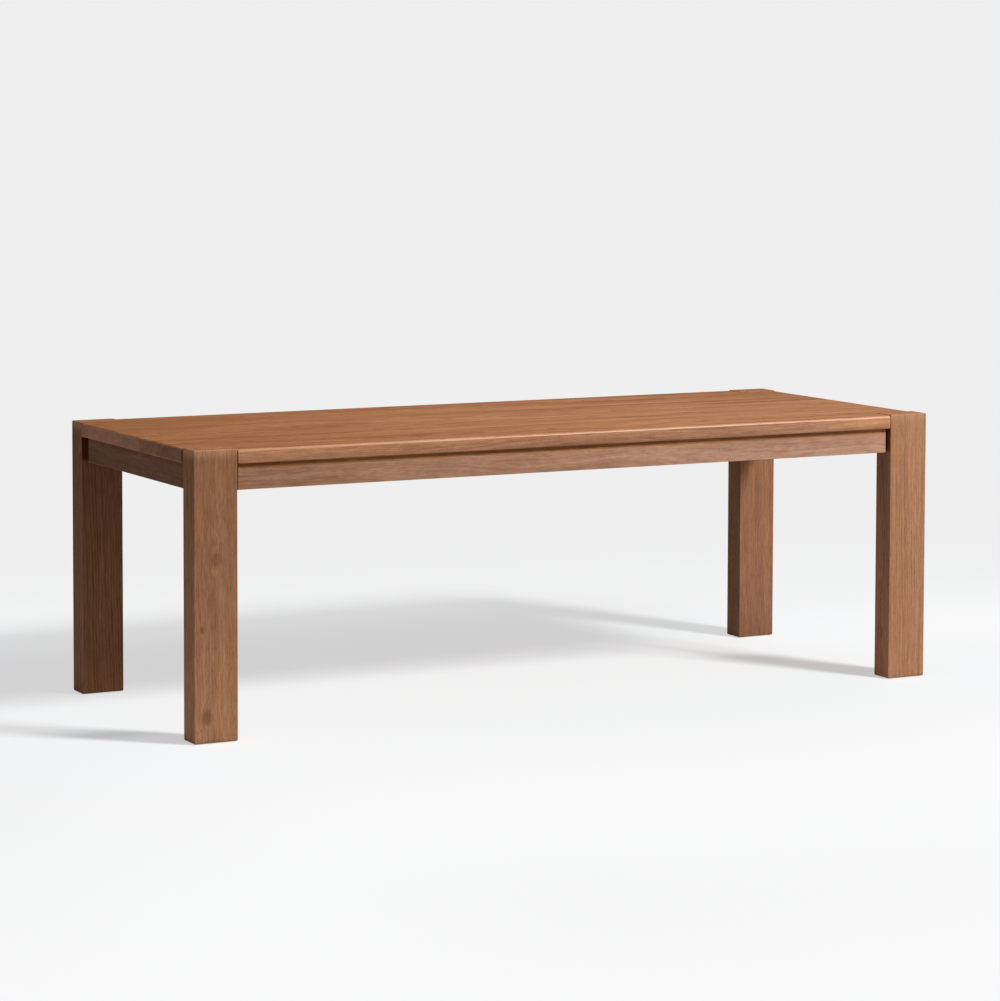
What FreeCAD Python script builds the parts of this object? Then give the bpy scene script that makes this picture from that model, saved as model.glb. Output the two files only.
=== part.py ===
import FreeCAD, Part
import math
import os

# A solid-wood dining table. Four through legs fill the notched corners of a top of edge-glued
# boards, and bolt to corner blocks in a recessed apron frame. Millimetres: X runs along the table,
# Y to its back, Z up, and the origin is on the floor under the middle of the top.

# Overall size
table_length = 2286
table_depth = 889
table_height = 768

# Legs, with a flat cut on the inner edge that bears on the corner block
leg_width = 123
leg_depth = 73
leg_edge_radius = 3
leg_foot_radius = 4
leg_flat_cut = 16

# Top, set slightly below the leg tops, with an open gap round each leg
top_thickness = 38
top_drop = 2
top_upper_radius = 8
top_lower_radius = 4
top_board_count = 7
notch_gap = 1.2
notch_edge_radius = 1.5

# Aprons, set back from the outer faces of the legs and stopped short of their sides
apron_height = 70
apron_thickness = 25
apron_recess = 15
long_apron_gap = 7
end_apron_gap = 16
apron_edge_radius = 2

# Cross rails, dropped into housings in the long aprons
rail_count = 3
rail_thickness = 25
rail_height = 45
housing_depth = 6

# Corner blocks, tongued into the aprons, that the bolts pull the legs up against
block_height = 60
block_thickness = 28
tongue_width = 8
tongue_depth = 6
tongue_inset = 5

# Hanger bolts, two to a leg, with their washers and nuts
bolt_radius = 4
bolt_leg_length = 48
bolt_stub = 4
bolt_point = 6
bolt_pitch = 28
bolt_count = 2
washer_radius = 12
washer_thickness = 2
nut_across_flats = 13
nut_thickness = 6.5

# Screws through the ends of the corner blocks into the aprons
block_screw_radius = 2.5
block_screw_head_radius = 5
block_screw_head_height = 3
block_screw_apron_length = 18
block_screw_block_length = 8
block_screw_pitch = 30
block_screw_count = 2

# Bent steel clips that hook into a groove in the aprons and hold the top down
clip_width = 20
clip_sheet = 2
clip_drop = 12
clip_standoff = 3
clip_hook_length = 8
clip_tab_length = 30
clip_hole_clearance = 0.5
clip_groove_height = 3.5
clip_groove_depth = 10
clip_screw_radius = 2.2
clip_screw_head_radius = 4.5
clip_screw_head_height = 2.5
clip_screw_top_length = 18
end_clip_count = 2

# Screws through slots in the cross rails, so that the top can swell and shrink
rail_screw_radius = 2.5
rail_screw_head_radius = 5
rail_screw_head_height = 3
rail_screw_rail_length = 25
rail_screw_top_length = 22
rail_slot_travel = 6
rail_slot_clearance = 0.3

# Floor glides, let into the feet
glide_radius = 19
glide_thickness = 6
glide_recess = 4.5
glide_edge = 2
glide_pin_radius = 3
glide_pin_length = 20

# Clearances and tool overrun
thread_clearance = 0.15
bolt_clearance = 0.5
fit_clearance = 0.2
tip_clearance = 1
screw_tip_length = 4
screw_head_edge = 1
overrun = 5

# Levels and faces that several pieces share
half_length = table_length / 2
half_depth = table_depth / 2
glide_lift = glide_thickness - glide_recess
top_level = table_height - top_drop
top_under = top_level - top_thickness
apron_under = top_under - apron_height
leg_inner_x = half_length - leg_width
leg_inner_y = half_depth - leg_depth
apron_inner_x = half_length - apron_recess - apron_thickness
apron_inner_y = half_depth - apron_recess - apron_thickness
apron_end_x = leg_inner_x - long_apron_gap
apron_end_y = leg_inner_y - end_apron_gap
apron_middle = apron_under + apron_height / 2
board_width = table_depth / top_board_count
rail_spacing = 2 * leg_inner_x / (rail_count + 1)
rail_under = top_under - rail_height

# The corner joint lies along the diagonal of the corner at +X +Y: each face is a line x + y = sum
diagonal = math.sqrt(2)
flat_sum = leg_inner_x + leg_inner_y + leg_flat_cut
block_inner_sum = flat_sum - block_thickness * diagonal

origin = FreeCAD.Vector(0, 0, 0)
along_x = FreeCAD.Vector(1, 0, 0)
along_y = FreeCAD.Vector(0, 1, 0)
up = FreeCAD.Vector(0, 0, 1)
into_leg = FreeCAD.Vector(1, 1, 0).normalize()

corners = {
    "front_left": (-1, -1),
    "front_right": (1, -1),
    "back_left": (-1, 1),
    "back_right": (1, 1),
}


def box(x, y, z):
    """A box between the low and high values given for each axis."""
    low = FreeCAD.Vector(x[0], y[0], z[0])
    return Part.makeBox(x[1] - x[0], y[1] - y[0], z[1] - z[0], low)


def prism(outline, direction):
    """A closed outline of points, pushed along a direction."""
    return Part.Face(Part.makePolygon(outline + outline[:1])).extrude(direction)


def turned(profile, base, direction):
    """A profile of (radius, height) points, turned about an axis from the base point."""
    outline = [FreeCAD.Vector(radius, 0, height) for radius, height in profile]
    solid = Part.Face(Part.makePolygon(outline + outline[:1])).revolve(origin, up, 360)
    solid.Placement = FreeCAD.Placement(base, FreeCAD.Rotation(up, direction))
    return solid


def screw(radius, length, head_radius, head_height, seat, direction):
    """A pan-head screw whose head bears at the seat and whose tip points along the direction."""
    profile = [
        (0, -head_height),
        (head_radius - screw_head_edge, -head_height),
        (head_radius, screw_head_edge - head_height),
        (head_radius, 0),
        (radius, 0),
        (radius, length - screw_tip_length),
        (0, length),
    ]
    return turned(profile, seat, direction)


def hole(radius, length, start, direction):
    """A cutter for a round hole that runs a given length from its start."""
    return Part.makeCylinder(radius, length, start, direction)


def slot(radius, travel, length, start):
    """A cutter for an upright hole drawn out along Y by the travel."""
    half_travel = along_y * (travel / 2)
    ends = [hole(radius, length, start + step, up) for step in (half_travel, -half_travel)]
    middle = box(
        (start.x - radius, start.x + radius),
        (start.y - travel / 2, start.y + travel / 2),
        (start.z, start.z + length),
    )
    return middle.fuse(ends)


def in_corner(solid, signs):
    """A copy of a solid made for the corner at +X +Y, mirrored into another corner."""
    for sign, axis in zip(signs, (along_x, along_y)):
        if sign < 0:
            solid = solid.mirror(origin, axis)
    return solid


def spread(count, pitch):
    """Offsets of a row of places about its middle."""
    return [pitch * (index - (count - 1) / 2) for index in range(count)]


def bolt_points(diagonal_sum):
    """Where the bolts of the corner at +X +Y cross the face x + y = sum."""
    inset = (flat_sum - diagonal_sum) / 2
    x = leg_inner_x + leg_flat_cut / 2 - inset
    y = leg_inner_y + leg_flat_cut / 2 - inset
    return [FreeCAD.Vector(x, y, apron_middle + step) for step in spread(bolt_count, bolt_pitch)]


def block_screw_seats():
    """Seat and direction of each screw of the corner block at +X +Y."""
    along = block_inner_sum + block_thickness / 2
    places = []
    for step in spread(block_screw_count, block_screw_pitch):
        level = apron_middle + step
        seat_y = apron_inner_y - block_screw_block_length
        seat_x = apron_inner_x - block_screw_block_length
        places.append((FreeCAD.Vector(along - apron_inner_y, seat_y, level), along_y))
        places.append((FreeCAD.Vector(seat_x, along - apron_inner_x, level), along_x))
    return places


def rail_places():
    """Where the cross rails lie along the table."""
    return spread(rail_count, rail_spacing)


def rail_screw_seats():
    """Where the rail screws' heads bear, one under each board that lies clear of the long aprons."""
    boards = spread(top_board_count, board_width)[1:-1]
    level = top_under - rail_screw_rail_length
    return [FreeCAD.Vector(x, y, level) for x in rail_places() for y in boards]


def clip_places():
    """Middle of each clip on an apron's inner face at the underside of the top, and the way inward."""
    end_reach = block_inner_sum - apron_inner_x
    places = []
    for side in (-1, 1):
        for x in spread(rail_count + 1, rail_spacing):
            places.append((FreeCAD.Vector(x, side * apron_inner_y, top_under), along_y * -side))
        for y in spread(end_clip_count, end_reach):
            places.append((FreeCAD.Vector(side * apron_inner_x, y, top_under), along_x * -side))
    return places


def clip_screw_seat(place, inward):
    """Where a clip's screw head bears, on the lower face of the clip's tab."""
    reach = clip_standoff + clip_sheet + (clip_tab_length - clip_sheet) / 2
    return place + inward * reach - up * clip_sheet


def make_leg():
    """The leg at +X +Y, eased all over, with its bolt holes and the recess for its glide."""
    leg = box((leg_inner_x, half_length), (leg_inner_y, half_depth), (glide_lift, table_height))
    middle = table_height / 2
    leg = leg.makeFillet(leg_edge_radius, [edge for edge in leg.Edges if edge.BoundBox.ZMax > middle])
    leg = leg.makeFillet(leg_foot_radius, [edge for edge in leg.Edges if edge.BoundBox.ZMax < middle])
    near = FreeCAD.Vector(leg_inner_x - overrun, leg_inner_y - overrun, apron_under)
    reach = leg_flat_cut + 2 * overrun
    flat = [near, near + along_x * reach, near + along_y * reach]
    cutters = [prism(flat, up * apron_height)]
    bore_length = bolt_leg_length + tip_clearance
    for point in bolt_points(flat_sum):
        cutters.append(hole(bolt_radius + thread_clearance, bore_length, point, into_leg))
    foot = FreeCAD.Vector(half_length - leg_width / 2, half_depth - leg_depth / 2, glide_lift)
    cutters.append(hole(glide_radius + fit_clearance, glide_recess, foot, up))
    pin_length = glide_recess + glide_pin_length + tip_clearance
    cutters.append(hole(glide_pin_radius + thread_clearance, pin_length, foot, up))
    return leg.cut(cutters)


def make_glide():
    """The glide in the foot of the leg at +X +Y: a dished disc with a pin."""
    profile = [
        (0, 0),
        (glide_radius - glide_edge, 0),
        (glide_radius, glide_edge),
        (glide_radius, glide_thickness),
        (glide_pin_radius, glide_thickness),
        (glide_pin_radius, glide_thickness + glide_pin_length),
        (0, glide_thickness + glide_pin_length),
    ]
    foot = FreeCAD.Vector(half_length - leg_width / 2, half_depth - leg_depth / 2, 0)
    return turned(profile, foot, up)


def outer_edges(top, level):
    """The edges of the top's ends and long sides at one level."""
    found = []
    for edge in top.Edges:
        middle = edge.CenterOfMass
        at_rim = abs(middle.x) > half_length - overrun or abs(middle.y) > half_depth - overrun
        if at_rim and abs(middle.z - level) < fit_clearance and edge.Length > table_depth / 2:
            found.append(edge)
    return found


def notch_edges(top):
    """The edges of the top's notches, apart from their upright inner corners, which stay sharp."""
    found = []
    for edge in top.Edges:
        middle = edge.CenterOfMass
        in_x = abs(middle.x) > leg_inner_x - notch_gap - fit_clearance
        in_y = abs(middle.y) > leg_inner_y - notch_gap - fit_clearance
        far_x = abs(middle.x) > leg_inner_x
        far_y = abs(middle.y) > leg_inner_y
        if in_x and in_y and (far_x or far_y):
            found.append(edge)
    return found


def make_top_boards():
    """The notched top, eased all round and drilled from below, cut into its edge-glued boards."""
    notch_x = leg_inner_x - notch_gap
    notch_y = leg_inner_y - notch_gap
    notch = [(half_length, notch_y), (notch_x, notch_y), (notch_x, half_depth)]
    back = notch + [(-x, y) for x, y in reversed(notch)]
    outline = back + [(-x, -y) for x, y in back]
    points = [FreeCAD.Vector(x, y, top_under) for x, y in outline]
    top = prism(points, up * top_thickness)
    top = top.makeFillet(top_upper_radius, outer_edges(top, top_level))
    top = top.makeFillet(top_lower_radius, outer_edges(top, top_under))
    top = top.makeFillet(notch_edge_radius, notch_edges(top))
    cutters = []
    for place, inward in clip_places():
        seat = clip_screw_seat(place, inward)
        depth = clip_screw_top_length + tip_clearance
        start = FreeCAD.Vector(seat.x, seat.y, top_under)
        cutters.append(hole(clip_screw_radius + thread_clearance, depth, start, up))
    for seat in rail_screw_seats():
        depth = rail_screw_top_length + tip_clearance
        start = FreeCAD.Vector(seat.x, seat.y, top_under)
        cutters.append(hole(rail_screw_radius + thread_clearance, depth, start, up))
    top = top.cut(cutters)
    boards = []
    for middle in spread(top_board_count, board_width):
        strip = box(
            (-half_length - overrun, half_length + overrun),
            (middle - board_width / 2, middle + board_width / 2),
            (top_under - overrun, top_level + overrun),
        )
        boards.append(top.common(strip))
    return boards


def groove_levels():
    """Low and high level of the groove that the clips hook into."""
    return top_under - clip_drop - clip_groove_height, top_under - clip_drop


def ease_apron(apron):
    """Round an apron's lower and upright edges, and leave the upper ones sharp under the top."""
    return apron.makeFillet(
        apron_edge_radius, [edge for edge in apron.Edges if edge.BoundBox.ZMin < apron_middle]
    )


def block_cutters():
    """Tongue grooves and screw holes of the corner block at +X +Y, for cutting both its aprons."""
    start = flat_sum - tongue_inset
    levels = (apron_under - overrun, top_under + overrun)
    depth = tongue_depth + fit_clearance
    low = start - tongue_width - fit_clearance
    high = start + fit_clearance
    cutters = [
        box((low - apron_inner_y, high - apron_inner_y), (apron_inner_y, apron_inner_y + depth), levels),
        box((apron_inner_x, apron_inner_x + depth), (low - apron_inner_x, high - apron_inner_x), levels),
    ]
    for seat, direction in block_screw_seats():
        length = block_screw_block_length + block_screw_apron_length + tip_clearance
        cutters.append(hole(block_screw_radius + thread_clearance, length, seat, direction))
    return cutters


def make_long_apron(side):
    """The apron along one long side, grooved inside and housed for the cross rails."""
    outer = apron_inner_y + apron_thickness
    apron = box((-apron_end_x, apron_end_x), (apron_inner_y, outer), (apron_under, top_under))
    apron = ease_apron(apron)
    ends = (-apron_end_x - overrun, apron_end_x + overrun)
    groove = (apron_inner_y - overrun, apron_inner_y + clip_groove_depth)
    cutters = [box(ends, groove, groove_levels())]
    half_housing = rail_thickness / 2 + fit_clearance
    housing = (apron_inner_y - overrun, apron_inner_y + housing_depth)
    for x in rail_places():
        cutters.append(box((x - half_housing, x + half_housing), housing, (rail_under, top_under + overrun)))
    for cutter in block_cutters():
        cutters.append(cutter)
        cutters.append(in_corner(cutter, (-1, 1)))
    return in_corner(apron.cut(cutters), (1, side))


def make_end_apron(side):
    """The apron across one end, grooved inside for the clips."""
    outer = apron_inner_x + apron_thickness
    apron = box((apron_inner_x, outer), (-apron_end_y, apron_end_y), (apron_under, top_under))
    apron = ease_apron(apron)
    ends = (-apron_end_y - overrun, apron_end_y + overrun)
    groove = (apron_inner_x - overrun, apron_inner_x + clip_groove_depth)
    cutters = [box(groove, ends, groove_levels())]
    for cutter in block_cutters():
        cutters.append(cutter)
        cutters.append(in_corner(cutter, (1, -1)))
    return in_corner(apron.cut(cutters), (side, 1))


def make_rail(x):
    """A cross rail with its ends housed in the long aprons and slots for its screws."""
    reach = apron_inner_y + housing_depth - fit_clearance
    half_thickness = rail_thickness / 2
    rail = box((x - half_thickness, x + half_thickness), (-reach, reach), (rail_under, top_under))
    cutters = []
    for seat in rail_screw_seats():
        if abs(seat.x - x) < half_thickness:
            low = FreeCAD.Vector(seat.x, seat.y, rail_under - overrun)
            well = rail_height - rail_screw_rail_length + overrun
            head = rail_screw_head_radius + rail_slot_clearance
            shank = rail_screw_radius + rail_slot_clearance
            cutters.append(slot(head, rail_slot_travel, well, low))
            cutters.append(slot(shank, rail_slot_travel, rail_screw_rail_length + overrun, seat))
    return rail.cut(cutters)


def make_block():
    """The corner block at +X +Y, with a tongue for each apron, bolt holes and sunk screw holes."""
    start = flat_sum - tongue_inset
    stop = start - tongue_width
    plan = [
        (flat_sum - apron_inner_y, apron_inner_y),
        (start - apron_inner_y, apron_inner_y),
        (start - apron_inner_y, apron_inner_y + tongue_depth),
        (stop - apron_inner_y, apron_inner_y + tongue_depth),
        (stop - apron_inner_y, apron_inner_y),
        (block_inner_sum - apron_inner_y, apron_inner_y),
        (apron_inner_x, block_inner_sum - apron_inner_x),
        (apron_inner_x, stop - apron_inner_x),
        (apron_inner_x + tongue_depth, stop - apron_inner_x),
        (apron_inner_x + tongue_depth, start - apron_inner_x),
        (apron_inner_x, start - apron_inner_x),
        (apron_inner_x, flat_sum - apron_inner_x),
    ]
    low = apron_middle - block_height / 2
    block = prism([FreeCAD.Vector(x, y, low) for x, y in plan], up * block_height)
    cutters = []
    for point in bolt_points(block_inner_sum):
        start_point = point - into_leg * overrun
        length = block_thickness + 2 * overrun
        cutters.append(hole(bolt_radius + bolt_clearance, length, start_point, into_leg))
    for seat, direction in block_screw_seats():
        shank = block_screw_radius + fit_clearance
        cutters.append(hole(shank, block_screw_block_length + overrun, seat, direction))
        cutters.append(hole(block_screw_head_radius + fit_clearance, block_thickness, seat, -direction))
    return block.cut(cutters)


def make_bolts():
    """The hanger bolts of the corner at +X +Y: pointed in the leg, chamfered at the nut."""
    grip = block_thickness + washer_thickness + nut_thickness + bolt_stub
    length = bolt_leg_length + grip
    profile = [
        (0, 0),
        (bolt_radius - screw_head_edge, 0),
        (bolt_radius, screw_head_edge),
        (bolt_radius, length - bolt_point),
        (0, length),
    ]
    tails = [point - into_leg * grip for point in bolt_points(flat_sum)]
    return [turned(profile, tail, into_leg) for tail in tails]


def make_washers():
    """The washers on the inner face of the corner block at +X +Y."""
    hole_radius = bolt_radius + bolt_clearance
    profile = [
        (hole_radius, 0),
        (washer_radius, 0),
        (washer_radius, washer_thickness),
        (hole_radius, washer_thickness),
    ]
    seats = bolt_points(block_inner_sum)
    return [turned(profile, seat, -into_leg) for seat in seats]


def make_nuts():
    """The hexagon nuts on the washers of the corner block at +X +Y."""
    corner_radius = nut_across_flats / math.sqrt(3)
    turns = [math.radians(60 * side) for side in range(6)]
    outline = [FreeCAD.Vector(math.cos(a), math.sin(a), 0) * corner_radius for a in turns]
    nuts = []
    for seat in bolt_points(block_inner_sum):
        nut = prism(outline, up * nut_thickness)
        nut = nut.cut(hole(bolt_radius + thread_clearance, nut_thickness, origin, up))
        place = seat - into_leg * washer_thickness
        nut.Placement = FreeCAD.Placement(place, FreeCAD.Rotation(up, -into_leg))
        nuts.append(nut)
    return nuts


def make_block_screws():
    """The screws of the corner block at +X +Y."""
    length = block_screw_block_length + block_screw_apron_length
    head = (block_screw_head_radius, block_screw_head_height)
    return [screw(block_screw_radius, length, *head, *place) for place in block_screw_seats()]


def make_clip(place, inward):
    """A bent steel clip, hooked into an apron's groove and flat under the top."""
    profile = [
        (-clip_hook_length, clip_drop),
        (clip_standoff, clip_drop),
        (clip_standoff, 0),
        (clip_standoff + clip_tab_length, 0),
        (clip_standoff + clip_tab_length, clip_sheet),
        (clip_standoff + clip_sheet, clip_sheet),
        (clip_standoff + clip_sheet, clip_drop + clip_sheet),
        (-clip_hook_length, clip_drop + clip_sheet),
    ]
    sideways = up.cross(inward)
    edge = place - sideways * (clip_width / 2)
    outline = [edge + inward * reach - up * drop for reach, drop in profile]
    clip = prism(outline, sideways * clip_width)
    seat = clip_screw_seat(place, inward)
    return clip.cut(hole(clip_screw_radius + clip_hole_clearance, clip_sheet, seat, up))


def make_clip_screws():
    """The screws that hold the clips to the top."""
    length = clip_sheet + clip_screw_top_length
    head = (clip_screw_head_radius, clip_screw_head_height)
    seats = [clip_screw_seat(*place) for place in clip_places()]
    return [screw(clip_screw_radius, length, *head, seat, up) for seat in seats]


def make_rail_screws():
    """The screws that hold the cross rails to the top."""
    length = rail_screw_rail_length + rail_screw_top_length
    head = (rail_screw_head_radius, rail_screw_head_height)
    return [screw(rail_screw_radius, length, *head, seat, up) for seat in rail_screw_seats()]


def in_all_corners(solids):
    """Copies of a corner's solids in all four corners."""
    return [in_corner(solid, signs) for signs in corners.values() for solid in solids]


def save(name, solids):
    """Write one node: a single solid, or a group of separate ones."""
    shape = solids[0] if len(solids) == 1 else Part.makeCompound(solids)
    shape.exportStep(f"parts/{name}.step")


def main():
    os.makedirs("parts", exist_ok=True)
    for number, board in enumerate(make_top_boards(), start=1):
        save(f"top_board_{number}", [board])
    for name, signs in corners.items():
        save(f"leg_{name}", [in_corner(make_leg(), signs)])
        save(f"glide_{name}", [in_corner(make_glide(), signs)])
        save(f"corner_block_{name}", [in_corner(make_block(), signs)])
    for name, side in (("front", -1), ("back", 1)):
        save(f"apron_{name}", [make_long_apron(side)])
    for name, side in (("left", -1), ("right", 1)):
        save(f"apron_{name}", [make_end_apron(side)])
    for number, x in enumerate(rail_places(), start=1):
        save(f"cross_rail_{number}", [make_rail(x)])
    save("leg_hanger_bolts", in_all_corners(make_bolts()))
    save("leg_bolt_washers", in_all_corners(make_washers()))
    save("leg_bolt_nuts", in_all_corners(make_nuts()))
    save("corner_block_screws", in_all_corners(make_block_screws()))
    save("top_clips", [make_clip(*place) for place in clip_places()])
    save("top_clip_screws", make_clip_screws())
    save("cross_rail_screws", make_rail_screws())


main()
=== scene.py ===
import math
from dataclasses import dataclass

import bmesh
import bpy
from bpy.props import FloatProperty, FloatVectorProperty, PointerProperty
from mathutils import Matrix, Vector


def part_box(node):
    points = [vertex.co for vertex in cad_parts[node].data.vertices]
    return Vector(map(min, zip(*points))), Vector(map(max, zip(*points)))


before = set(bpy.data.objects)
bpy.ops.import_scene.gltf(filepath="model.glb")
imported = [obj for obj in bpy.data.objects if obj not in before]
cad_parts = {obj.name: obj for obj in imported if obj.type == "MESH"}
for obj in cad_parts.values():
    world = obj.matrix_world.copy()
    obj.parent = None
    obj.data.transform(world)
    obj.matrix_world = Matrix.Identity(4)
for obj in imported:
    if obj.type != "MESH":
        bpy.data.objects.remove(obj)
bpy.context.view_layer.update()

bl_info = {
    "name": "Notched-corner dining table",
    "version": (1, 0, 0),
    "blender": (4, 5, 0),
    "location": "3D View > Sidebar > Table",
    "description": "Dresses a solid-wood dining table and lays its studio stage",
    "category": "Object",
}

CORNERS = ("front_left", "front_right", "back_left", "back_right")
BOARD_COUNT = 7
RAIL_COUNT = 3

# Turns that lay a piece's own X along its grain, by the world axis that the grain follows
GRAIN_TURNS = {
    "X": (0.0, 0.0, 0.0),
    "Y": (0.0, 0.0, math.pi / 2),
    "Z": (0.0, -math.pi / 2, 0.0),
}
# World axes in the order of a piece's own X, Y and Z
GRAIN_ORDER = {"X": (0, 1, 2), "Y": (1, 0, 2), "Z": (2, 1, 0)}

# How far the grain strays and ripples, in metres
WANDER = 0.030
RIPPLE = 0.0035
# Knots: weight of the distance along the grain, the shares of a knot's size between which its core
# and its swelling fade, and the share by which it pushes the rings aside
KNOT_STRETCH = 0.55
KNOT_CORE_SHARES = (0.25, 1.8)
KNOT_SWELL_SHARES = (0.3, 3.2)
KNOT_PUSH_SHARE = 1.3
# How strongly each kind of marking changes the tone
WEIGHTS = {
    "wide": 0.46,
    "middle": 0.50,
    "narrow": 0.40,
    "fibre": 0.30,
    "dash": 0.60,
    "fleck": 0.34,
    "mottle": 0.30,
    "late": 0.16,
}
# A face begins to look one way at the first of these parts of its normal, and does at the second
LOOKS = (0.5, 0.9)

# In metres: the strip of painted light at a leg's top and how far past the top it would go on, and
# where the painted shade at a seam, under an overhang and in a pocket, and the rubbed edges, begin and
# end
CROWN_LIGHT_DEPTH = 0.032
CROWN_LIGHT_PAST = 0.004
SEAM_SHADE_GAPS = (0.006, 0.014)
OVERHANG_SHADE_DEPTHS = (0.0165, 0.0120)
POCKET_SHADE_GAPS = (-0.004, 0.010)
RUBBED_DEPTHS = (0.0005, 0.0040)

# Tones of the wood from dark to pale, as factors of its colour
BODY_STOPS = (
    (0.0, (0.52, 0.46, 0.44)),
    (0.30, (0.80, 0.77, 0.77)),
    (0.50, (1.0, 1.0, 1.0)),
    (1.0, (1.48, 1.56, 1.56)),
)
# Strength and factors of the colour of pores, knots, rubbed edges, and the painted highlight on edges
# that catch the light
PORE_SHARE = 0.34
PORE_TINT = (0.40, 0.36, 0.34)
KNOT_SHARE = 0.55
KNOT_TINT = (0.42, 0.32, 0.33)
RUBBED_SHARE = 0.16
RUBBED_TINT = (1.45, 1.50, 1.50)
GLINT_SHARE = 0.30
GLINT_TINT = (1.80, 1.90, 1.90)
GLINT_COAT = 0.8

# Red, green and blue by which the colour of a face is multiplied, for stain, painted sheen, painted
# light and painted shade
GOLDEN = (1.01, 0.97, 0.89, 1.0)
PINKISH = (0.99, 1.02, 1.12, 1.0)
# Upright faces: lighter stain on side grain, and painted sheen
PALE_AND_SHEEN_SIDE = (1.13, 1.21, 1.38, 1.0)
# Paler towards the ends of the front board's upright faces
LIT_LEFT_END = (1.21, 1.24, 1.26, 1.0)
LIT_RIGHT_END = (1.24, 1.24, 1.09, 1.0)
# Painted shade low and painted light high on the front board's front face
PAINTED_SHADE_LOW = (0.82, 0.82, 0.82, 1.0)
PAINTED_LIGHT_HIGH = (1.18, 1.18, 1.18, 1.0)
# Painted shade under an overhang, in a pocket and at a seam
PAINTED_OVERHANG_SHADE = (0.76, 0.60, 0.36, 1.0)
PAINTED_POCKET_SHADE = (0.50, 0.36, 0.24, 1.0)
PAINTED_SEAM_SHADE = (0.42, 0.36, 0.30, 1.0)
# Painted light on the left end of each board
PAINTED_END_LIGHT = (1.50, 1.58, 1.80)

# Lamps: places and widths in metres, the side one's colour, what all are aimed at, and the cast of
# the room's even light
KEY_PLACE = (3.05, -4.41, 4.02)
TOP_PLACE = (0.0, 0.0, 3.6)
TOP_WIDTH = 2.6
SIDE_PLACE = (-3.2, 0.2, 1.3)
SIDE_WIDTH = 1.6
SIDE_COLOUR = (0.80, 0.86, 1.0)
LAMP_TARGET = (0.0, 0.0, 0.4)
ROOM_CAST = (0.94, 1.0, 1.14)

# Floor: its radius and sides, the light it gives back, half the length and width of the table on
# it, and the bearings of the front legs' shadows from below the lamp
FLOOR_RADIUS = 60.0
FLOOR_SIDES = 96
FLOOR_BOUNCE = (0.63, 0.68, 0.80, 1.0)
TABLE_REACH = (1.14, 0.44)
RIGHT_BEARING = -0.492
LEFT_BEARING = -1.030

# Camera: place in metres, turns in radians, shift as a share of the picture's width, farthest
# distance in metres, sensor in millimetres
CAMERA_PLACE = (-4.4468, -8.4186, 1.7036)
CAMERA_YAW = 0.4843
CAMERA_PITCH = 0.0693
CAMERA_ROLL = 0.0027
CAMERA_SHIFT = -0.18
CAMERA_FARTHEST = 300.0
SENSOR_WIDTH = 36.0


class TableWood(bpy.types.PropertyGroup):
    """Colours and grain of the table's timber."""

    top_colour: FloatVectorProperty(
        name="Top",
        description="Stained colour of the top's boards",
        subtype="COLOR",
        min=0.0,
        max=1.0,
        default=(0.395, 0.176, 0.082),
    )
    leg_colour: FloatVectorProperty(
        name="Legs",
        description="Stained colour of the legs",
        subtype="COLOR",
        min=0.0,
        max=1.0,
        default=(0.390, 0.188, 0.096),
    )
    apron_colour: FloatVectorProperty(
        name="Aprons",
        description="Stained colour of the aprons",
        subtype="COLOR",
        min=0.0,
        max=1.0,
        default=(0.490, 0.264, 0.157),
    )
    hidden_colour: FloatVectorProperty(
        name="Hidden frame",
        description="Plain hardwood of the cross rails and corner blocks",
        subtype="COLOR",
        min=0.0,
        max=1.0,
        default=(0.30, 0.175, 0.095),
    )
    ring_width: FloatProperty(
        name="Ring width",
        description="Mean width of a growth ring",
        unit="LENGTH",
        min=0.001,
        max=0.02,
        default=0.0034,
    )
    roughness: FloatProperty(
        name="Roughness",
        description="Mean roughness of the satin finish",
        subtype="FACTOR",
        min=0.05,
        max=1.0,
        default=0.52,
    )


class TableHardware(bpy.types.PropertyGroup):
    """Colours of the fasteners and glides."""

    steel_colour: FloatVectorProperty(
        name="Zinc",
        description="Colour of the plated steel",
        subtype="COLOR",
        min=0.0,
        max=1.0,
        default=(0.60, 0.61, 0.63),
    )
    nylon_colour: FloatVectorProperty(
        name="Glides",
        description="Colour of the floor glides",
        subtype="COLOR",
        min=0.0,
        max=1.0,
        default=(0.035, 0.030, 0.026),
    )


class TableStage(bpy.types.PropertyGroup):
    """Floor, lamp and background of the studio."""

    lamp_power: FloatProperty(
        name="Lamp power",
        description="Power of the soft box at the front right",
        unit="POWER",
        min=0.0,
        default=285.0,
    )
    lamp_width: FloatProperty(
        name="Lamp width",
        description="Width of the square soft box",
        unit="LENGTH",
        min=0.1,
        default=1.0,
    )
    top_power: FloatProperty(
        name="Overhead power",
        description="Power of the soft box over the table",
        unit="POWER",
        min=0.0,
        default=61.0,
    )
    side_power: FloatProperty(
        name="Side power",
        description="Power of the weak soft box at the table's left end",
        unit="POWER",
        min=0.0,
        default=2.4,
    )
    room_light: FloatProperty(
        name="Room light",
        description="Even light that the room gives from all sides",
        min=0.0,
        max=1.0,
        default=0.08,
    )
    background: FloatProperty(
        name="Background",
        description="Brightness of the seamless background",
        min=0.0,
        max=1.0,
        default=0.862,
    )
    lens: FloatProperty(
        name="Lens",
        description="Focal length of the camera in millimetres",
        min=10.0,
        default=120.71,
    )


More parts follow.
